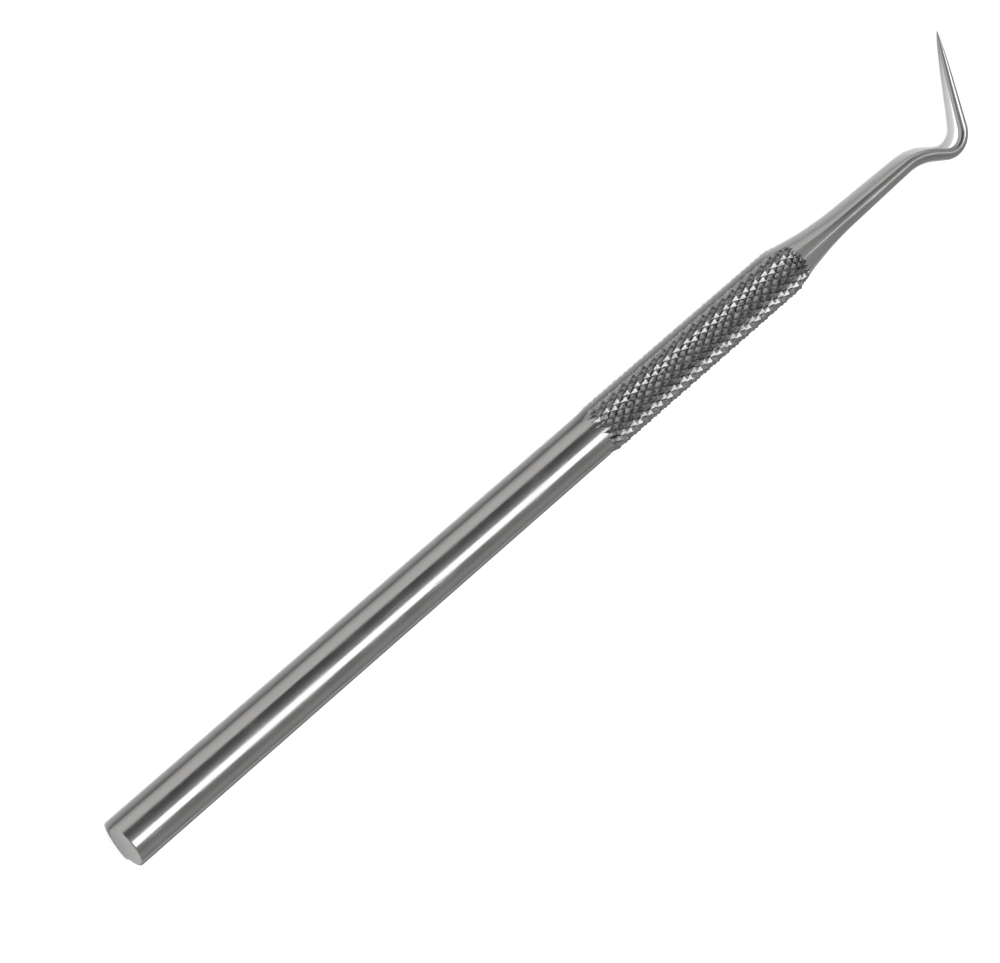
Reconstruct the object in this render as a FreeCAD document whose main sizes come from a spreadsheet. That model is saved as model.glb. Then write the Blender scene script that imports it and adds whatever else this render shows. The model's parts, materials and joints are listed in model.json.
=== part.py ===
"""Dental explorer: a knurled bar handle and the bent, needle-pointed working end pressed into it.

Each piece is drawn with the handle's axis along +X, from the centre of the rear face, and with
the needle bent in the XY plane. Both pieces are then placed together as the explorer lies on a
flat surface: on its grip and its point, with the origin under the middle of its bounding box.
"""
import FreeCAD, Part
import os
import Sketcher

SHEET = "Dimensions"

# Millimetres and degrees.
DIMENSIONS = {
    "barrel_radius": 3.0,
    "rear_chamfer": 0.2,
    "knurl_start": 84.4,
    "knurl_runout": 0.8,
    "knurl_radius": 3.3,
    "knurl_end": 122.8,
    "handle_length": 125.1,
    "front_radius": 2.66,
    "bore_radius": 1.4,
    "bore_depth": 14.0,
    "drill_point": 0.8,
    "tang_gap": 0.8,
    "tang_chamfer": 0.3,
    "cone_radius": 2.63,
    "cone_end": 137.0,
    "cone_end_radius": 1.3,
    "cone_curve": 66.0,
    "bend_start": 149.3,
    "bend_start_radius": 0.98,
    "bend_curve": 10.0,
    "bend_angle": 31.6,
    "bend_end_radius": 0.9,
    "offset_length": 1.95,
    "elbow_start_radius": 0.82,
    "elbow_curve": 3.5,
    "tip_angle": 67.2,
    "elbow_end_radius": 0.71,
    "tip_length": 14.0,
    "taper_length": 5.5,
    "taper_radius": 0.5,
    "point_radius": 0.04,
}

# The sketcher's names for the ends of an edge, the two axes and the origin.
START, END, CENTRE = 1, 2, 3
X_AXIS, Y_AXIS = -1, -2


def formula(text):
    """Turns the [names] in a formula into references to the sheet's cells."""
    for name in DIMENSIONS:
        text = text.replace(f"[{name}]", f"<<{SHEET}>>.{name}")
    return text


# The centre line of the bent stretch: where each run or curve ends, and its heading from +X.
BEND_END_X = "([bend_start] + [bend_curve] * sin([bend_angle]))"
BEND_END_Y = "([bend_curve] * (cos([bend_angle]) - 1))"
ELBOW_START_X = f"({BEND_END_X} + [offset_length] * cos([bend_angle]))"
ELBOW_START_Y = f"({BEND_END_Y} - [offset_length] * sin([bend_angle]))"
ELBOW_END_X = f"({ELBOW_START_X} + [elbow_curve] * (sin([bend_angle]) + sin([tip_angle])))"
ELBOW_END_Y = f"({ELBOW_START_Y} + [elbow_curve] * (cos([bend_angle]) - cos([tip_angle])))"
ELBOW_LOW_Y = f"({ELBOW_START_Y} + [elbow_curve] * (cos([bend_angle]) - 1))"
TIP_X = f"({ELBOW_END_X} + [tip_length] * cos([tip_angle]))"
TIP_Y = f"({ELBOW_END_Y} + [tip_length] * sin([tip_angle]))"

# The roll about the handle's axis that brings the point down to the surface under the grip.
ROLL = f"asin(([knurl_radius] - [point_radius]) / {TIP_Y})"
ELBOW_SIDE = f"({ELBOW_LOW_Y} * cos({ROLL}) - [elbow_start_radius])"
POINT_SIDE = f"({TIP_Y} * cos({ROLL}))"


def add_sheet(doc):
    sheet = doc.addObject("Spreadsheet::Sheet", SHEET)
    for row, (name, value) in enumerate(DIMENSIONS.items(), start=1):
        sheet.set(f"A{row}", name)
        sheet.set(f"B{row}", str(value))
        sheet.setAlias(f"B{row}", name)
    doc.recompute()


def value_of(owner, text):
    """A formula's number, for the first drawing of a sketch."""
    result = owner.evalExpression(formula(text))
    return getattr(result, "Value", result)


def add_sketch(body, name, plane):
    """A sketch on one of the body's own origin planes."""
    sketch = body.newObject("Sketcher::SketchObject", name)
    origin = next(item for item in body.Origin.OriginFeatures if item.Role == plane)
    sketch.AttachmentSupport = [(origin, "")]
    sketch.MapMode = "FlatFace"
    return sketch


def bind(sketch, kind, *picks, to):
    """Adds a dimension to a sketch and drives it from the sheet."""
    number = value_of(sketch, to)
    if kind == "Angle":
        number = FreeCAD.Units.Quantity(number, FreeCAD.Units.Angle).getValueAs("rad").Value
    index = sketch.addConstraint(Sketcher.Constraint(kind, *picks, number))
    sketch.setExpression(f"Constraints[{index}]", formula(to))


def pin_point(sketch, edge, end, across, up):
    """Ties a point to the sketch's axes where its distance from one is zero."""
    if across == "0":
        sketch.addConstraint(Sketcher.Constraint("PointOnObject", edge, end, Y_AXIS))
    else:
        bind(sketch, "DistanceX", edge, end, to=across)
    if up == "0":
        sketch.addConstraint(Sketcher.Constraint("PointOnObject", edge, end, X_AXIS))
    else:
        bind(sketch, "DistanceY", edge, end, to=up)


def hollow_arc(start, end, radius):
    """The arc from start to end that sags towards the axis, as on a waisted cone."""
    chord = end - start
    square = FreeCAD.Vector(-chord.y, chord.x, 0).normalize()
    rise = (radius ** 2 - (chord.Length / 2) ** 2) ** 0.5
    centre = start + chord * 0.5 + square * rise
    circle = Part.Circle(centre, FreeCAD.Vector(0, 0, 1), radius)
    return Part.ArcOfCircle(circle, circle.parameter(start), circle.parameter(end))


def draw_outline(sketch, points, curves=None):
    """A closed outline through points given as formulas; curves gives an edge its radius."""
    curves = curves or {}
    corners = [FreeCAD.Vector(value_of(sketch, x), value_of(sketch, y), 0) for x, y in points]
    for edge, (start, end) in enumerate(zip(corners, corners[1:] + corners[:1])):
        if edge in curves:
            sketch.addGeometry(hollow_arc(start, end, value_of(sketch, curves[edge])))
        else:
            sketch.addGeometry(Part.LineSegment(start, end))
    for edge in range(len(points)):
        before = (edge - 1) % len(points)
        sketch.addConstraint(Sketcher.Constraint("Coincident", before, END, edge, START))
    for edge, (across, up) in enumerate(points):
        pin_point(sketch, edge, START, across, up)
    for edge, radius in curves.items():
        bind(sketch, "Radius", edge, to=radius)


def turn(body, kind, name, sketch):
    """Turns an outline about the sketch's own horizontal axis, adding or cutting."""
    feature = body.newObject(kind, name)
    feature.Profile = sketch
    feature.ReferenceAxis = (sketch, ["H_Axis"])
    feature.Angle = 360.0
    return feature


def build_handle(doc):
    """The bar: chamfered rear, smooth barrel, knurled grip at its crest size, bored front."""
    body = doc.addObject("PartDesign::Body", "handle")
    outline = add_sketch(body, "handle_outline", "XY_Plane")
    draw_outline(outline, [
        ("0", "0"),
        ("0", "[barrel_radius] - [rear_chamfer]"),
        ("[rear_chamfer]", "[barrel_radius]"),
        ("[knurl_start]", "[barrel_radius]"),
        ("[knurl_start] + [knurl_runout]", "[knurl_radius]"),
        ("[knurl_end]", "[knurl_radius]"),
        ("[handle_length]", "[front_radius]"),
        ("[handle_length]", "0"),
    ])
    turn(body, "PartDesign::Revolution", "bar", outline)
    doc.recompute()

    bore = add_sketch(body, "bore_outline", "XY_Plane")
    draw_outline(bore, [
        ("[handle_length] - [bore_depth] - [drill_point]", "0"),
        ("[handle_length] - [bore_depth]", "[bore_radius]"),
        ("[handle_length]", "[bore_radius]"),
        ("[handle_length]", "0"),
    ])
    turn(body, "PartDesign::Groove", "bore", bore)
    return body


def add_shank(body):
    """The turned stretch: tang, shoulder, waisted cone and the thin shank up to the bend."""
    outline = add_sketch(body, "shank_outline", "XY_Plane")
    tang_end = "[handle_length] - [bore_depth] + [tang_gap]"
    draw_outline(outline, [
        (tang_end, "0"),
        (tang_end, "[bore_radius] - [tang_chamfer]"),
        (f"{tang_end} + [tang_chamfer]", "[bore_radius]"),
        ("[handle_length]", "[bore_radius]"),
        ("[handle_length]", "[cone_radius]"),
        ("[cone_end]", "[cone_end_radius]"),
        ("[bend_start]", "[bend_start_radius]"),
        ("[bend_start]", "0"),
    ], curves={4: "[cone_curve]"})
    turn(body, "PartDesign::Revolution", "shank", outline)


def add_centre_line(body):
    """The centre line of the bent stretch: a bend, a short straight offset and the elbow."""
    sketch = add_sketch(body, "centre_line", "XY_Plane")
    up = FreeCAD.Vector(0, 0, 1)
    bend_end = FreeCAD.Vector(value_of(sketch, BEND_END_X), value_of(sketch, BEND_END_Y), 0)
    elbow_start = FreeCAD.Vector(value_of(sketch, ELBOW_START_X), value_of(sketch, ELBOW_START_Y), 0)
    bend_start = FreeCAD.Vector(value_of(sketch, "[bend_start]"), 0, 0)
    elbow_end = FreeCAD.Vector(value_of(sketch, ELBOW_END_X), value_of(sketch, ELBOW_END_Y), 0)

    bend_centre = bend_start - FreeCAD.Vector(0, value_of(sketch, "[bend_curve]"), 0)
    bend = Part.Circle(bend_centre, up, value_of(sketch, "[bend_curve]"))
    sketch.addGeometry(Part.ArcOfCircle(bend, bend.parameter(bend_end), bend.parameter(bend_start)))
    sketch.addGeometry(Part.LineSegment(bend_end, elbow_start))
    along = (elbow_start - bend_end).normalize()
    elbow_radius = value_of(sketch, "[elbow_curve]")
    elbow_centre = elbow_start + FreeCAD.Vector(-along.y, along.x, 0) * elbow_radius
    elbow = Part.Circle(elbow_centre, up, elbow_radius)
    sketch.addGeometry(Part.ArcOfCircle(elbow, elbow.parameter(elbow_start), elbow.parameter(elbow_end)))

    sketch.addConstraint(Sketcher.Constraint("Tangent", 0, START, 1, START))
    sketch.addConstraint(Sketcher.Constraint("Tangent", 1, END, 2, START))
    sketch.addConstraint(Sketcher.Constraint("Vertical", 0, CENTRE, 0, END))
    pin_point(sketch, 0, END, "[bend_start]", "0")
    bind(sketch, "Radius", 0, to="[bend_curve]")
    bind(sketch, "Angle", 0, to="[bend_angle]")
    bind(sketch, "Distance", 1, to="[offset_length]")
    bind(sketch, "Radius", 2, to="[elbow_curve]")
    bind(sketch, "Angle", 2, to="[bend_angle] + [tip_angle]")
    return sketch


def add_ring(body, name, across, up, heading, radius):
    """A round section square to the centre line at one station."""
    sketch = add_sketch(body, name, "YZ_Plane")
    turned = FreeCAD.Rotation(FreeCAD.Vector(0, 1, 0), 1.0)
    sketch.AttachmentOffset = FreeCAD.Placement(FreeCAD.Vector(0, 0, 0), turned)
    sketch.setExpression(".AttachmentOffset.Base.z", formula(across))
    sketch.setExpression(".AttachmentOffset.Base.x", formula(up))
    sketch.setExpression(".AttachmentOffset.Rotation.Angle", formula(heading))
    circle = Part.Circle(FreeCAD.Vector(0, 0, 0), FreeCAD.Vector(0, 0, 1), value_of(sketch, radius))
    sketch.addGeometry(circle)
    sketch.addConstraint(Sketcher.Constraint("Coincident", 0, CENTRE, X_AXIS, START))
    bind(sketch, "Radius", 0, to=radius)
    return sketch


def add_bends(body):
    """The tapering bent wire between the shank and the tip."""
    centre_line = add_centre_line(body)
    rings = [
        add_ring(body, "bend_start_ring", "[bend_start]", "0", "0", "[bend_start_radius]"),
        add_ring(body, "bend_end_ring", BEND_END_X, BEND_END_Y, "-[bend_angle]", "[bend_end_radius]"),
        add_ring(body, "elbow_start_ring", ELBOW_START_X, ELBOW_START_Y, "-[bend_angle]",
                 "[elbow_start_radius]"),
        add_ring(body, "elbow_end_ring", ELBOW_END_X, ELBOW_END_Y, "[tip_angle]",
                 "[elbow_end_radius]"),
    ]
    bends = body.newObject("PartDesign::AdditivePipe", "bends")
    bends.Profile = rings[0]
    bends.Spine = (centre_line, ["Edge1", "Edge2", "Edge3"])
    bends.Transformation = "Multisection"
    bends.Sections = [(ring, [""]) for ring in rings[1:]]


def add_tip(body):
    """The straight needle: a slow taper, then a quick one to the point."""
    outline = add_sketch(body, "tip_outline", "XY_Plane")
    turned = FreeCAD.Rotation(FreeCAD.Vector(0, 0, 1), 1.0)
    outline.AttachmentOffset = FreeCAD.Placement(FreeCAD.Vector(0, 0, 0), turned)
    outline.setExpression(".AttachmentOffset.Base.x", formula(ELBOW_END_X))
    outline.setExpression(".AttachmentOffset.Base.y", formula(ELBOW_END_Y))
    outline.setExpression(".AttachmentOffset.Rotation.Angle", formula("[tip_angle]"))
    draw_outline(outline, [
        ("0", "0"),
        ("0", "[elbow_end_radius]"),
        ("[tip_length] - [taper_length]", "[taper_radius]"),
        ("[tip_length]", "[point_radius]"),
        ("[tip_length]", "0"),
    ])
    turn(body, "PartDesign::Revolution", "tip", outline)


def build_working_end(doc):
    body = doc.addObject("PartDesign::Body", "working_end")
    for add_stretch in (add_shank, add_bends, add_tip):
        add_stretch(body)
        doc.recompute()
    return body


def lay_down(body):
    """Rolls and moves a piece to where it lies, with the point and the grip on the surface."""
    roll_axis = FreeCAD.Rotation(FreeCAD.Vector(1, 0, 0), -1.0)
    body.Placement = FreeCAD.Placement(FreeCAD.Vector(), roll_axis)
    body.setExpression(".Placement.Base.x", formula(f"-{TIP_X} / 2"))
    body.setExpression(".Placement.Base.y", formula(f"-({ELBOW_SIDE} + {POINT_SIDE}) / 2"))
    body.setExpression(".Placement.Base.z", formula("[knurl_radius]"))
    body.setExpression(".Placement.Rotation.Angle", formula(f"-{ROLL}"))


def check_document(doc, pieces):
    for item in doc.Objects:
        if "Invalid" in item.State or "Error" in item.State:
            raise RuntimeError(f"{item.Label} did not build: {item.State}")
    for piece in pieces:
        if piece.Shape.isNull() or not piece.Shape.isValid() or len(piece.Shape.Solids) != 1:
            raise RuntimeError(f"{piece.Label} is not one valid solid")


def main():
    doc = FreeCAD.newDocument("dental_explorer")
    add_sheet(doc)
    pieces = [build_handle(doc), build_working_end(doc)]
    for piece in pieces:
        lay_down(piece)
    doc.recompute()
    check_document(doc, pieces)

    os.makedirs("parts", exist_ok=True)
    for piece in pieces:
        piece.Shape.exportStep(f"parts/{piece.Label}.step")
        box = piece.Shape.optimalBoundingBox()
        print(f"{piece.Label}: {piece.Shape.Volume:.1f} mm3, {box.XLength:.1f} x {box.YLength:.1f} x "
              f"{box.ZLength:.1f} mm")


main()
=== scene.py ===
"""The look of the dental explorer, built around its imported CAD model.

The handle and the working end are remade as detailed meshes: the handle with its cut diamond
knurl, and the working end as one finely stepped sweep. Every finish is a procedural steel.
Lengths are in metres, and the handle's axis runs along +X from its rear face.
"""
import json
import math

import bpy
import numpy as np
from mathutils import Matrix, Vector


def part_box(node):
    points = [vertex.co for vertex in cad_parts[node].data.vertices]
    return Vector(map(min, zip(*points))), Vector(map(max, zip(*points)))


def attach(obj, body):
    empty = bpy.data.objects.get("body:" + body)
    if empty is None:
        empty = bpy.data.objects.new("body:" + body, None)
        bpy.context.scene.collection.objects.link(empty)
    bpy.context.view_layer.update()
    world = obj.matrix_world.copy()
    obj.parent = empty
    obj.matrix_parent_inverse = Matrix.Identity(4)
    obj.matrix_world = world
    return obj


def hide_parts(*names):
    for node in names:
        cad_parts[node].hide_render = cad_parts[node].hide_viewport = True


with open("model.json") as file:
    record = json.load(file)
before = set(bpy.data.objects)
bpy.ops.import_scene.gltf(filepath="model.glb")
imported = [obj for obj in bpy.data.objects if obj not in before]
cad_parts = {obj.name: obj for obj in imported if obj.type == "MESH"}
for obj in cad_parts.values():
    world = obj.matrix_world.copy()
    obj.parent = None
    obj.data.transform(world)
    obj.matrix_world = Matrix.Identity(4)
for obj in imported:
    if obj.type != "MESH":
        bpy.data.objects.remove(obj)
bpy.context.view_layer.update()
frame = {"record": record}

MM = 0.001

# ---------------------------------------------------------------- the frame's own places
handle_low, handle_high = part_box("handle")
REAR_X = handle_low.x
HANDLE_LENGTH = handle_high.x - handle_low.x
AXIS_Y = (handle_low.y + handle_high.y) / 2
AXIS_Z = (handle_low.z + handle_high.z) / 2
CREST_RADIUS = (handle_high.z - handle_low.z) / 2
BARREL_RADIUS = frame["record"]["mounts"][0]["dims"]["r_mm"] * MM

# ---------------------------------------------------------------- the handle's turned shape
REAR_EDGE = 0.2 * MM
REAR_EDGE_ROWS = 6
BARREL_ROWS = 42
BARREL_ROWS_START = 1.0 * MM
FRONT_RADIUS = 2.66 * MM
BORE_RADIUS = 1.4 * MM
BORE_DEPTH = 14.0 * MM
DRILL_POINT = 0.8 * MM

# ---------------------------------------------------------------- the knurl
KNURL_STARTS = 18
KNURL_PITCH = 2.0 * MM
KNURL_DEPTH = 0.40 * MM
KNURL_START = 84.4 * MM
KNURL_END = 122.8 * MM
KNURL_RISE = 2.0 * MM
GROOVE_SLOPE_IN = 1.5 * MM
EARLY_HAND_START = -1.1 * MM
LATE_HAND_START = -0.1 * MM
START_SCATTER = 0.9 * MM
GROOVE_SLOPE_OUT = 0.6 * MM
END_SCATTER = 0.7 * MM
DEPTH_SCATTER = 0.09
GRIT = 0.009 * MM
GROOVE_OVERRUN = 0.2 * MM
GROOVE_SEED = 18
GRIT_SEED = 7
KNURL_TURN = math.radians(5.0)
STEPS_PER_PITCH = 12
COLUMNS = KNURL_STARTS * STEPS_PER_PITCH
KNURL_STEP = KNURL_PITCH / STEPS_PER_PITCH

# ---------------------------------------------------------------- the bent working end
TANG_LENGTH = 13.2 * MM
TANG_CHAMFER = 0.3 * MM
CONE_RADIUS = 2.63 * MM
CONE_END = 137.0 * MM
CONE_CURVE = 66.0 * MM
SHANK_RADIUS = 1.3 * MM
BEND_START = 149.3 * MM
BEND_START_RADIUS = 0.98 * MM
BEND_CURVE = 10.0 * MM
BEND_ANGLE = math.radians(31.6)
OFFSET_LENGTH = 1.95 * MM
ELBOW_CURVE = 3.5 * MM
TIP_ANGLE = math.radians(67.2)
TIP_LENGTH = 14.0 * MM
POINT_RADIUS = 0.04 * MM
NEEDLE_STEP = 0.1 * MM
CONE_ROWS = 60
SHANK_ROWS = 24
RING_SIDES = 72
# The wire's radius against its distance back from the point, both in mm.
NEEDLE_RADII = (
    (0.0, 0.04), (0.6, 0.13), (1.6, 0.25), (3.0, 0.36), (4.5, 0.44), (6.5, 0.52), (9.0, 0.58),
    (12.0, 0.65), (14.0, 0.71), (18.1, 0.74), (20.04, 0.82), (21.99, 0.90), (27.5, 0.98),
)

# ---------------------------------------------------------------- finishes
# Grain is in cells per metre along X, Y and Z. Relief is the height of a noise's full range.
SMUDGE_GRAIN = (160.0, 420.0, 420.0)
WAVE_GRAIN = (420.0, 420.0, 420.0)
LATHE_GRAIN = (5200.0, 40.0, 40.0)
SCRATCH_GRAIN = (260.0, 5200.0, 5200.0)
SCRATCH_RARITY = 0.66
SCRATCH_EDGE = 0.06
SCRATCH_ROUGHNESS = 0.08
WAVE_RELIEF = 0.010 * MM
LATHE_RELIEF = 0.005 * MM
SCRATCH_RELIEF = -0.0025 * MM
GRIME_GRAIN = (1700.0, 1700.0, 1700.0)
GRIME_RANGE = (0.3, 0.7)
GRIME_SPREAD = (-0.65, 0.65)
GRIME_RELIEF = 0.046 * MM
SCUFF_GRAIN = (2600.0, 5200.0, 5200.0)
SCUFF_RELIEF = 0.015 * MM
FACE_RINGS = 5000.0
FACE_RING_RELIEF = 0.0025 * MM
FACE_SMUDGE_GRAIN = (600.0, 600.0, 600.0)
FACE_SMUDGE_RELIEF = 0.012 * MM

# ---------------------------------------------------------------- the room
# The room's grey from the +Y horizon (0) over the top (0.5) to the -Y horizon (1).
ROOM_TONES = (
    (0.0, 1.0), (0.03, 0.16), (0.14, 0.20), (0.22, 0.32), (0.29, 0.60), (0.40, 0.80), (0.53, 0.60),
    (0.58, 0.46), (0.70, 0.44), (0.77, 0.60), (0.85, 0.68), (1.0, 0.50),
)
FRONT_TONE = 0.7
REAR_TONE = 0.6
END_FADE = (0.45, 0.8)
FLOOR_SIZE = 6.0
FLOOR_COLOUR = (0.72, 0.72, 0.715, 1.0)
FLOOR_ROUGHNESS = 0.9
# Each lamp's name, place, target, size, radiance, and whether the steel mirrors it.
LAMPS = (
    ("strip", (0.14, 0.117, 0.61), (0.10, 0.0, 0.0), (0.56, 0.325), 3.3, True),
    ("strip_end", (0.60, 0.135, 0.61), (0.10, 0.0, 0.0), (0.36, 0.08), 1.8, True),
    ("key", (-0.18, 0.115, 0.84), (0.0, 0.0, 0.0), (0.08, 0.08), 325.0, False),
)

# ---------------------------------------------------------------- the camera
# Its place is measured from the middle of the handle's rear face.
CAMERA_PLACE = (-99.83 * MM, 173.84 * MM, 318.79 * MM)
CAMERA_SLANT = math.radians(25.0)
CAMERA_LEAN = math.radians(28.0)
CAMERA_TURN = math.radians(40.82)
FOCAL_LENGTH = 110.88
SENSOR_WIDTH = 36.0
CLIP_START = 0.01


def ease(value):
    """A smooth step from 0 to 1."""
    value = np.clip(value, 0.0, 1.0)
    return value * value * (3.0 - 2.0 * value)


def add_mesh(name, points, faces, sharp_angle):
    mesh = bpy.data.meshes.new(name)
    mesh.from_pydata(points, [], faces)
    mesh.validate()
    mesh.shade_smooth()
    mesh.set_sharp_from_angle(angle=math.radians(sharp_angle))
    piece = bpy.data.objects.new(name, mesh)
    bpy.context.scene.collection.objects.link(piece)
    return piece


def end_fan(ring_start, sides, centre, outward):
    """The triangles that close a ring onto a centre point."""
    faces = []
    for k in range(sides):
        edge = (ring_start + k, ring_start + (k + 1) % sides)
        faces.append((*edge, centre) if outward else (*reversed(edge), centre))
    return faces


# ---------------------------------------------------------------- handle
def crest_radius(along):
    """The turned bar before it is knurled: the barrel, its rise to the grip and the front taper."""
    rise = ease((along - KNURL_START) / KNURL_RISE)
    slope = (CREST_RADIUS - FRONT_RADIUS) / (HANDLE_LENGTH - KNURL_END)
    grip = BARREL_RADIUS + (CREST_RADIUS - BARREL_RADIUS) * rise
    return np.minimum(grip, CREST_RADIUS - slope * (along - KNURL_END))


def facet_hollow(along, turns):
    """How far a flat facet of the knurl lies below one that followed the bar's curve."""
    late = turns * KNURL_STARTS + along / KNURL_PITCH
    early = turns * KNURL_STARTS - along / KNURL_PITCH
    late_off = late - np.floor(late) - 0.5
    early_off = early - np.floor(early) - 0.5
    half_turn = math.pi / KNURL_STARTS
    around = np.abs(late_off + early_off) * half_turn
    forward = np.abs(late_off - early_off)
    root = CREST_RADIUS - KNURL_DEPTH
    fall = (root * math.cos(half_turn) - CREST_RADIUS) / (root * math.sin(half_turn))
    flat = (CREST_RADIUS - KNURL_DEPTH * forward) / (np.cos(around) - fall * np.sin(around))
    curved = CREST_RADIUS - KNURL_DEPTH * 2.0 * np.maximum(np.abs(late_off), np.abs(early_off))
    return np.maximum(curved - flat, 0.0)


def knurl_depth(along, turns):
    """How deep the two hands of grooves cut at a distance from the rear and a share of a turn.

    The seed is the same on every call, so each groove keeps its own start, end and depth.
    """
    rng = np.random.default_rng(GROOVE_SEED)
    cut = np.zeros_like(along)
    bites = []
    for hand, first in ((1, LATE_HAND_START), (-1, EARLY_HAND_START)):
        phase = turns * KNURL_STARTS + hand * along / KNURL_PITCH
        groove = np.round(phase).astype(int) % KNURL_STARTS
        starts = KNURL_START + first + START_SCATTER * rng.random(KNURL_STARTS)
        ends = HANDLE_LENGTH + GROOVE_OVERRUN - END_SCATTER * rng.random(KNURL_STARTS)
        depths = 1.0 - DEPTH_SCATTER * rng.random(KNURL_STARTS)
        bite = depths[groove] * ease((along - starts[groove]) / GROOVE_SLOPE_IN)
        bite = bite * ease((ends[groove] - along) / GROOVE_SLOPE_OUT)
        bites.append(bite)
        cut = np.maximum(cut, bite - 2.0 * np.abs(phase - np.round(phase)))
    return KNURL_DEPTH * cut + facet_hollow(along, turns) * np.minimum(*bites)


def handle_rows():
    """The rows of the handle's skin: distance from the rear, radius and step on the knurl.

    A row whose radius is None takes it from the knurl. Only the knurl's own rows have a step.
    """
    rows = []
    for turn in np.linspace(0.0, math.pi / 2, REAR_EDGE_ROWS):
        inset = REAR_EDGE * (1.0 - math.sin(turn))
        rows.append((REAR_EDGE * (1.0 - math.cos(turn)), BARREL_RADIUS - inset, None))
    smooth_end = KNURL_START + EARLY_HAND_START - 0.5 * MM
    first_step = math.ceil(smooth_end / KNURL_STEP)
    last_step = math.floor((HANDLE_LENGTH - 0.03 * MM) / KNURL_STEP)
    barrel = np.linspace(BARREL_ROWS_START, smooth_end - 1.0 * MM, BARREL_ROWS)
    rows += [(x, BARREL_RADIUS, None) for x in barrel]
    rows += [(step * KNURL_STEP, None, step) for step in range(first_step, last_step + 1)]
    rows += [(HANDLE_LENGTH, None, None)]
    rows += [(HANDLE_LENGTH, BORE_RADIUS, None)]
    rows += [(HANDLE_LENGTH - BORE_DEPTH, BORE_RADIUS, None)]
    return rows


def lattice_faces(steps, depths):
    """The skin's faces, split along the ridges on the knurl, and which of them are knurled."""
    faces = []
    knurled = []
    ridge = STEPS_PER_PITCH // 2
    for i in range(len(steps) - 1):
        for j in range(COLUMNS):
            k = (j + 1) % COLUMNS
            a, d = i * COLUMNS + j, i * COLUMNS + k
            b, c = a + COLUMNS, d + COLUMNS
            cut = max(depths[i][j], depths[i][k], depths[i + 1][j], depths[i + 1][k]) > GRIT
            if steps[i] is None:
                faces.append((a, d, c, b))
                knurled.append(0)
            elif (steps[i] - j) % ridge == 0:
                faces += [(a, d, c), (a, c, b)]
                knurled += [int(cut)] * 2
            else:
                faces += [(a, d, b), (d, c, b)]
                knurled += [int(cut)] * 2
    return faces, knurled


def build_handle():
    turns = np.arange(COLUMNS) / COLUMNS
    angles = 2.0 * math.pi * turns + KNURL_TURN
    grit = np.random.default_rng(GRIT_SEED)
    rows = handle_rows()
    rings = []
    depths = []
    for along, radius, step in rows:
        across = np.full(COLUMNS, along)
        depth = np.zeros(COLUMNS)
        if radius is None:
            radius = crest_radius(across)
            depth = knurl_depth(across, turns)
            rough = GRIT * np.abs(grit.normal(size=COLUMNS))
            depth = np.where(depth > 0.0, depth + rough, 0.0)
        radii = radius - depth
        x = np.full(COLUMNS, REAR_X + along)
        y = AXIS_Y + radii * np.cos(angles)
        z = AXIS_Z + radii * np.sin(angles)
        rings.append(np.stack((x, y, z), 1))
        depths.append(depth)
    points = np.concatenate(rings).tolist()
    faces, knurled = lattice_faces([step for along, radius, step in rows], depths)
    last_ring = len(points) - COLUMNS
    rear_centre, bore_centre = len(points), len(points) + 1
    drill_x = REAR_X + HANDLE_LENGTH - BORE_DEPTH - DRILL_POINT
    points += [(REAR_X, AXIS_Y, AXIS_Z), (drill_x, AXIS_Y, AXIS_Z)]
    rear_face = end_fan(0, COLUMNS, rear_centre, False)
    bore_end = end_fan(last_ring, COLUMNS, bore_centre, True)
    handle = add_mesh("knurled_handle", points, faces + rear_face + bore_end, 20.0)
    for finish in (turned_steel(), knurled_steel(), faced_steel()):
        handle.data.materials.append(finish)
    finishes = knurled + [2] * len(rear_face) + [0] * len(bore_end)
    handle.data.polygons.foreach_set("material_index", finishes)
    return handle


# ---------------------------------------------------------------- working end
def needle_radius(travelled, total):
    """The wire's radius along its centre line, from the bend to the point."""
    marks, radii = np.array(NEEDLE_RADII).T * MM
    return np.interp(total - travelled, marks, radii)


def heading_at(travelled, bend_length, elbow_length):
    """The centre line's turn away from the handle's axis at a distance along the bends."""
    if travelled < bend_length:
        return -travelled / BEND_CURVE
    if travelled < bend_length + OFFSET_LENGTH:
        return -BEND_ANGLE
    if travelled < bend_length + OFFSET_LENGTH + elbow_length:
        return -BEND_ANGLE + (travelled - bend_length - OFFSET_LENGTH) / ELBOW_CURVE
    return TIP_ANGLE


def straight_stations():
    """The tang, the cone and the shank: each ring's distance, offset, heading and radius."""
    tang = HANDLE_LENGTH - TANG_LENGTH
    stations = [(tang, 0, 0, BORE_RADIUS - TANG_CHAMFER), (tang + TANG_CHAMFER, 0, 0, BORE_RADIUS)]
    stations += [(HANDLE_LENGTH, 0, 0, BORE_RADIUS)]
    run = CONE_END - HANDLE_LENGTH
    drop = CONE_RADIUS - SHANK_RADIUS
    tilt = math.atan2(drop, run)
    bow = math.sqrt(CONE_CURVE ** 2 - (run ** 2 + drop ** 2) / 4)
    centre_x = HANDLE_LENGTH + run / 2 + bow * math.sin(tilt)
    centre_r = (CONE_RADIUS + SHANK_RADIUS) / 2 + bow * math.cos(tilt)
    for x in np.linspace(HANDLE_LENGTH, CONE_END, CONE_ROWS):
        stations.append((x, 0, 0, centre_r - math.sqrt(CONE_CURVE ** 2 - (x - centre_x) ** 2)))
    for share in np.linspace(0.0, 1.0, SHANK_ROWS + 1)[1:]:
        x = CONE_END + share * (BEND_START - CONE_END)
        radius = SHANK_RADIUS + share * (BEND_START_RADIUS - SHANK_RADIUS)
        stations.append((x, 0, 0, radius))
    return stations


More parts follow.
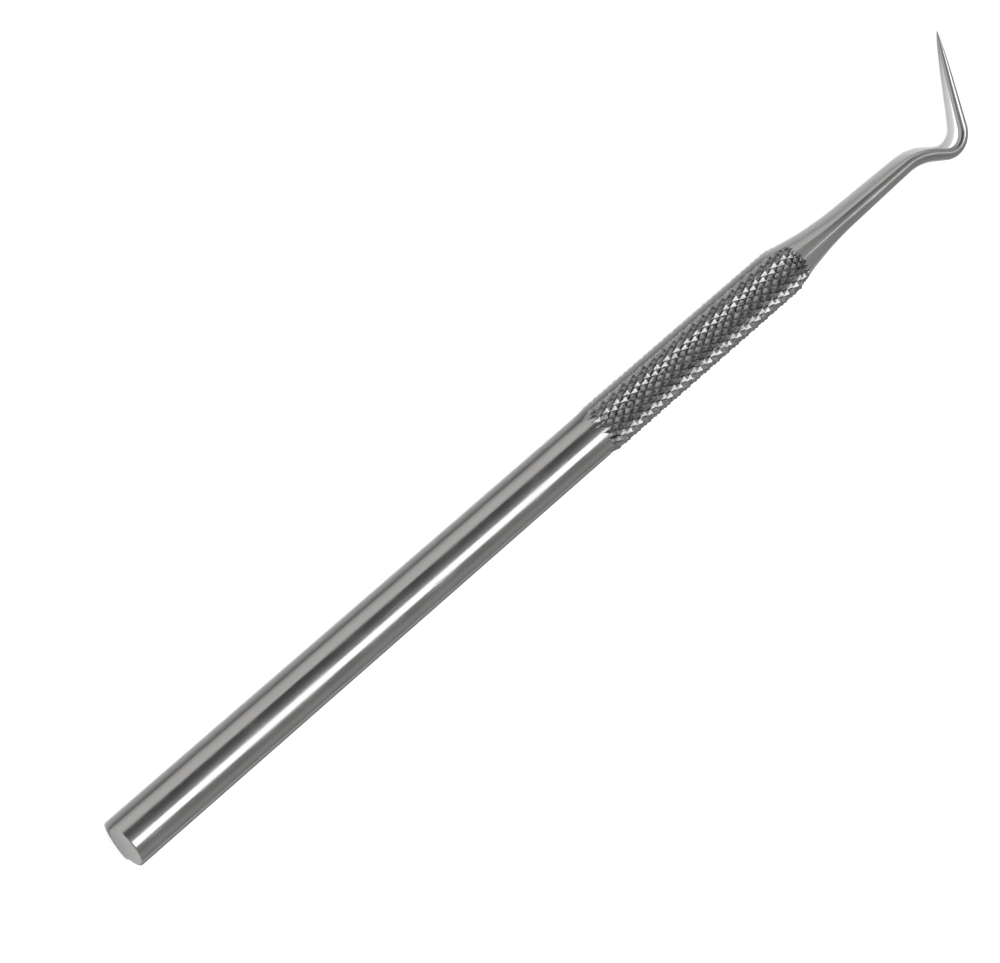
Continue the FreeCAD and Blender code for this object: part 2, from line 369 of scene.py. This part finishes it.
def bent_stations():
    """The two bends and the needle point, ring by ring."""
    bend_length = BEND_CURVE * BEND_ANGLE
    elbow_length = ELBOW_CURVE * (BEND_ANGLE + TIP_ANGLE)
    total = bend_length + OFFSET_LENGTH + elbow_length + TIP_LENGTH
    count = round(total / NEEDLE_STEP)
    step = total / count
    x, y = BEND_START, 0.0
    stations = []
    for i in range(1, count + 1):
        heading = heading_at((i - 0.5) * step, bend_length, elbow_length)
        x += step * math.cos(heading)
        y += step * math.sin(heading)
        ahead = heading_at(i * step, bend_length, elbow_length)
        stations.append((x, y, ahead, needle_radius(i * step, total)))
    return stations


def build_working_end():
    stations = straight_stations() + bent_stations()
    tip_x, tip_reach = stations[-1][:2]
    roll = math.asin((CREST_RADIUS - POINT_RADIUS) / tip_reach)
    side = Vector((0, math.cos(roll), -math.sin(roll)))
    lift = Vector((0, math.sin(roll), math.cos(roll)))
    origin = Vector((REAR_X, AXIS_Y, AXIS_Z))
    points = []
    for x, y, heading, radius in stations:
        centre = origin + Vector((x, 0, 0)) + side * y
        square = side * math.cos(heading) - Vector((math.sin(heading), 0, 0))
        for k in range(RING_SIDES):
            angle = 2.0 * math.pi * k / RING_SIDES
            across = square * radius * math.cos(angle)
            points.append(centre + across + lift * radius * math.sin(angle))
    faces = []
    for i in range(len(stations) - 1):
        for k in range(RING_SIDES):
            a, b = i * RING_SIDES + k, i * RING_SIDES + (k + 1) % RING_SIDES
            faces.append((a, b, b + RING_SIDES, a + RING_SIDES))
    last_ring = len(points) - RING_SIDES
    points += [origin + Vector((stations[0][0], 0, 0))]
    points += [origin + Vector((tip_x, 0, 0)) + side * tip_reach]
    faces += end_fan(0, RING_SIDES, len(points) - 2, False)
    faces += end_fan(last_ring, RING_SIDES, len(points) - 1, True)
    needle = add_mesh("bent_needle", points, faces, 35.0)
    needle.data.materials.append(needle_steel())
    return needle


# ---------------------------------------------------------------- steel
def steel(name, edge_tint):
    """A bare steel, and the nodes that a finish is added to."""
    material = bpy.data.materials.new(name)
    material.use_nodes = True
    tree = material.node_tree
    shader = tree.nodes["Principled BSDF"]
    shader.inputs["Metallic"].default_value = 1.0
    shader.inputs["Specular Tint"].default_value = (edge_tint, edge_tint, edge_tint, 1.0)
    return material, tree, shader


def bar_place(tree):
    """Places on the bar, measured from the middle of its rear face."""
    place = tree.nodes.new("ShaderNodeTexCoord")
    shift = tree.nodes.new("ShaderNodeVectorMath")
    shift.operation = "SUBTRACT"
    shift.inputs[1].default_value = (REAR_X, AXIS_Y, AXIS_Z)
    tree.links.new(place.outputs["Object"], shift.inputs[0])
    return shift.outputs["Vector"]


def off_axis(tree, place):
    """The distance from the bar's axis."""
    flat = tree.nodes.new("ShaderNodeVectorMath")
    flat.operation = "MULTIPLY"
    flat.inputs[1].default_value = (0.0, 1.0, 1.0)
    length = tree.nodes.new("ShaderNodeVectorMath")
    length.operation = "LENGTH"
    tree.links.new(place, flat.inputs[0])
    tree.links.new(flat.outputs["Vector"], length.inputs[0])
    return length.outputs["Value"]


def noise(tree, place, stretch, detail):
    """Noise with a set number of cells per metre in each direction."""
    scaled = tree.nodes.new("ShaderNodeVectorMath")
    scaled.operation = "MULTIPLY"
    scaled.inputs[1].default_value = stretch
    texture = tree.nodes.new("ShaderNodeTexNoise")
    texture.inputs["Scale"].default_value = 1.0
    texture.inputs["Detail"].default_value = detail
    tree.links.new(place, scaled.inputs[0])
    tree.links.new(scaled.outputs["Vector"], texture.inputs["Vector"])
    return texture.outputs["Fac"]


def spread(tree, value, source, result):
    """Maps a value from one range to another, held at the ends."""
    node = tree.nodes.new("ShaderNodeMapRange")
    node.inputs["From Min"].default_value, node.inputs["From Max"].default_value = source
    node.inputs["To Min"].default_value, node.inputs["To Max"].default_value = result
    tree.links.new(value, node.inputs["Value"])
    return node.outputs["Result"]


def combine(tree, operation, first, second):
    node = tree.nodes.new("ShaderNodeMath")
    node.operation = operation
    tree.links.new(first, node.inputs[0])
    tree.links.new(second, node.inputs[1])
    return node.outputs["Value"]


def tone(tree, shader, value, low, high):
    """Colours the steel between two tones."""
    ramp = tree.nodes.new("ShaderNodeValToRGB")
    ramp.color_ramp.elements[0].color = (*low, 1.0)
    ramp.color_ramp.elements[1].color = (*high, 1.0)
    tree.links.new(value, ramp.inputs["Fac"])
    tree.links.new(ramp.outputs["Color"], shader.inputs["Base Color"])


def relief(tree, shader, layers):
    """Stacks layers of height, each with its depth in metres, onto the surface."""
    normal = None
    for height, depth in layers:
        bump = tree.nodes.new("ShaderNodeBump")
        bump.inputs["Distance"].default_value = depth
        tree.links.new(height, bump.inputs["Height"])
        if normal:
            tree.links.new(normal, bump.inputs["Normal"])
        normal = bump.outputs["Normal"]
    tree.links.new(normal, shader.inputs["Normal"])


def scratches(tree, place):
    """Sparse thin lines, from noise drawn out along the bar."""
    limits = (SCRATCH_RARITY, SCRATCH_RARITY + SCRATCH_EDGE)
    return spread(tree, noise(tree, place, SCRATCH_GRAIN, 2.0), limits, (0.0, 1.0))


def polished(name, edge_tint, dull, bright, roughness):
    """Steel turned and then polished: faint lathe lines, handling scratches and smudges."""
    material, tree, shader = steel(name, edge_tint)
    place = bar_place(tree)
    smudges = noise(tree, place, SMUDGE_GRAIN, 4.0)
    lathe_lines = noise(tree, place, LATHE_GRAIN, 3.0)
    waves = noise(tree, place, WAVE_GRAIN, 1.0)
    marks = scratches(tree, place)
    rubbed = spread(tree, smudges, (0.32, 0.68), roughness)
    scored = spread(tree, marks, (0.0, 1.0), (0.0, SCRATCH_ROUGHNESS))
    tree.links.new(combine(tree, "ADD", rubbed, scored), shader.inputs["Roughness"])
    tone(tree, shader, smudges, dull, bright)
    layers = [(waves, WAVE_RELIEF), (lathe_lines, LATHE_RELIEF), (marks, SCRATCH_RELIEF)]
    relief(tree, shader, layers)
    return material


def turned_steel():
    dull, bright = (0.268, 0.264, 0.260), (0.333, 0.328, 0.322)
    return polished("turned_steel", 0.28, dull, bright, (0.14, 0.27))


def needle_steel():
    dull, bright = (0.275, 0.271, 0.267), (0.335, 0.330, 0.325)
    return polished("polished_steel", 0.5, dull, bright, (0.13, 0.25))


def knurled_steel():
    """The knurl's rough facets: scratched, with random grime, and painted shade that is darker in
    the grooves and lighter on the crests.
    """
    material, tree, shader = steel("knurled_steel", 0.2)
    place = bar_place(tree)
    # Painted shade: the distance from the axis, groove bottom to crest, sets the tone, darker in
    # the grooves and lighter on the crests; random grime noise is added to it.
    cut = (CREST_RADIUS - KNURL_DEPTH, CREST_RADIUS)
    height = spread(tree, off_axis(tree, place), cut, (0.0, 1.0))
    grime = noise(tree, place, GRIME_GRAIN, 4.0)
    scuffs = noise(tree, place, SCUFF_GRAIN, 3.0)
    groove_shade_and_grime = combine(tree, "ADD", height, spread(tree, grime, GRIME_RANGE, GRIME_SPREAD))
    tone(tree, shader, groove_shade_and_grime, (0.22, 0.216, 0.217), (0.325, 0.319, 0.319))
    tree.links.new(spread(tree, grime, GRIME_RANGE, (0.18, 0.32)), shader.inputs["Roughness"])
    relief(tree, shader, [(grime, GRIME_RELIEF), (scuffs, SCUFF_RELIEF)])
    return material


def faced_steel():
    """The rear face, with the fine rings that facing it in a lathe leaves."""
    material, tree, shader = steel("faced_steel", 0.6)
    place = bar_place(tree)
    rings = tree.nodes.new("ShaderNodeTexNoise")
    rings.noise_dimensions = "1D"
    rings.inputs["Scale"].default_value = FACE_RINGS
    rings.inputs["Detail"].default_value = 2.0
    tree.links.new(off_axis(tree, place), rings.inputs["W"])
    smudges = noise(tree, place, FACE_SMUDGE_GRAIN, 4.0)
    tree.links.new(spread(tree, smudges, (0.3, 0.7), (0.26, 0.42)), shader.inputs["Roughness"])
    tone(tree, shader, smudges, (0.35, 0.346, 0.344), (0.45, 0.446, 0.443))
    layers = [(smudges, FACE_SMUDGE_RELIEF), (rings.outputs["Fac"], FACE_RING_RELIEF)]
    relief(tree, shader, layers)
    return material


# ---------------------------------------------------------------- studio
def build_floor():
    bpy.ops.mesh.primitive_plane_add(size=FLOOR_SIZE, location=(0, 0, 0))
    floor = bpy.context.object
    floor.name = "table"
    material = bpy.data.materials.new("white_table")
    material.use_nodes = True
    shader = material.node_tree.nodes["Principled BSDF"]
    shader.inputs["Base Color"].default_value = FLOOR_COLOUR
    shader.inputs["Roughness"].default_value = FLOOR_ROUGHNESS
    shader.inputs["Specular IOR Level"].default_value = 0.0
    floor.data.materials.append(material)


def add_lamp(name, place, target, size, radiance, mirrored):
    """A rectangular lamp that faces a target, its first size along X."""
    lamp = bpy.data.lights.new(name, "AREA")
    lamp.shape = "RECTANGLE"
    lamp.size, lamp.size_y = size
    lamp.energy = radiance * math.pi * size[0] * size[1]
    box = bpy.data.objects.new(name, lamp)
    bpy.context.scene.collection.objects.link(box)
    away = (Vector(place) - Vector(target)).normalized()
    across = away.cross(Vector((1, 0, 0))).normalized()
    along = across.cross(away)
    turn = Matrix((along, across, away)).transposed().to_4x4()
    box.matrix_world = Matrix.Translation(Vector(place)) @ turn
    box.visible_camera = False
    box.visible_glossy = mirrored


def plain_background(tree, level):
    background = tree.nodes.new("ShaderNodeBackground")
    background.inputs["Color"].default_value = (level, level, level, 1.0)
    return background


def blend(tree, share, first, second):
    """Mixes two backgrounds."""
    mix = tree.nodes.new("ShaderNodeMixShader")
    tree.links.new(share, mix.inputs["Fac"])
    tree.links.new(first.outputs[0], mix.inputs[1])
    tree.links.new(second.outputs[0], mix.inputs[2])
    return mix


def build_world():
    """A room lit low on the +Y side, dim above that, pale overhead and grey on the -Y side.

    Its two ends are even greys, the -X one the darker. The camera sees white.
    """
    world = bpy.data.worlds.new("studio")
    bpy.context.scene.world = world
    world.use_nodes = True
    tree = world.node_tree
    place = tree.nodes.new("ShaderNodeTexCoord")
    split = tree.nodes.new("ShaderNodeSeparateXYZ")
    tree.links.new(place.outputs["Generated"], split.inputs[0])
    turn = combine(tree, "ARCTAN2", split.outputs["Y"], split.outputs["Z"])
    ramp = tree.nodes.new("ShaderNodeValToRGB")
    tree.links.new(spread(tree, turn, (math.pi / 2, -math.pi / 2), (0.0, 1.0)), ramp.inputs["Fac"])
    while len(ramp.color_ramp.elements) < len(ROOM_TONES):
        ramp.color_ramp.elements.new(0.5)
    for element, (position, level) in zip(ramp.color_ramp.elements, ROOM_TONES):
        element.position = position
        element.color = (level, level, level, 1.0)
    room = tree.nodes["Background"]
    tree.links.new(ramp.outputs["Color"], room.inputs["Color"])
    forward = spread(tree, split.outputs["X"], END_FADE, (0.0, 1.0))
    room = blend(tree, forward, room, plain_background(tree, FRONT_TONE))
    rear_fade = (-END_FADE[0], -END_FADE[1])
    rearward = spread(tree, split.outputs["X"], rear_fade, (0.0, 1.0))
    room = blend(tree, rearward, room, plain_background(tree, REAR_TONE))
    seen = tree.nodes.new("ShaderNodeLightPath")
    view = blend(tree, seen.outputs["Is Camera Ray"], room, plain_background(tree, 1.0))
    tree.links.new(view.outputs[0], tree.nodes["World Output"].inputs["Surface"])


def build_camera():
    """A camera over the rear end, with the handle running up the picture to the right."""
    along = Vector((1, 0, 0))
    square = Vector((0, math.sin(CAMERA_LEAN), math.cos(CAMERA_LEAN)))
    back = square * math.cos(CAMERA_SLANT) - along * math.sin(CAMERA_SLANT)
    up_handle = along * math.cos(CAMERA_SLANT) + square * math.sin(CAMERA_SLANT)
    low_side = up_handle.cross(back)
    right = up_handle * math.cos(CAMERA_TURN) + low_side * math.sin(CAMERA_TURN)
    up = up_handle * math.sin(CAMERA_TURN) - low_side * math.cos(CAMERA_TURN)
    turn = Matrix((right, up, back)).transposed().to_4x4()
    place = Vector((REAR_X, AXIS_Y, AXIS_Z)) + Vector(CAMERA_PLACE)
    lens = bpy.data.cameras.new("camera")
    lens.lens = FOCAL_LENGTH
    lens.sensor_width = SENSOR_WIDTH
    lens.clip_start = CLIP_START
    camera = bpy.data.objects.new("camera", lens)
    bpy.context.scene.collection.objects.link(camera)
    camera.matrix_world = Matrix.Translation(place) @ turn
    bpy.context.scene.camera = camera


handle = build_handle()
needle = build_working_end()
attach(handle, "root")
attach(needle, "root")
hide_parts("handle")
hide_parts("working_end")

build_floor()
build_world()
for lamp in LAMPS:
    add_lamp(*lamp)
build_camera()
bpy.context.scene.view_settings.view_transform = "Standard"
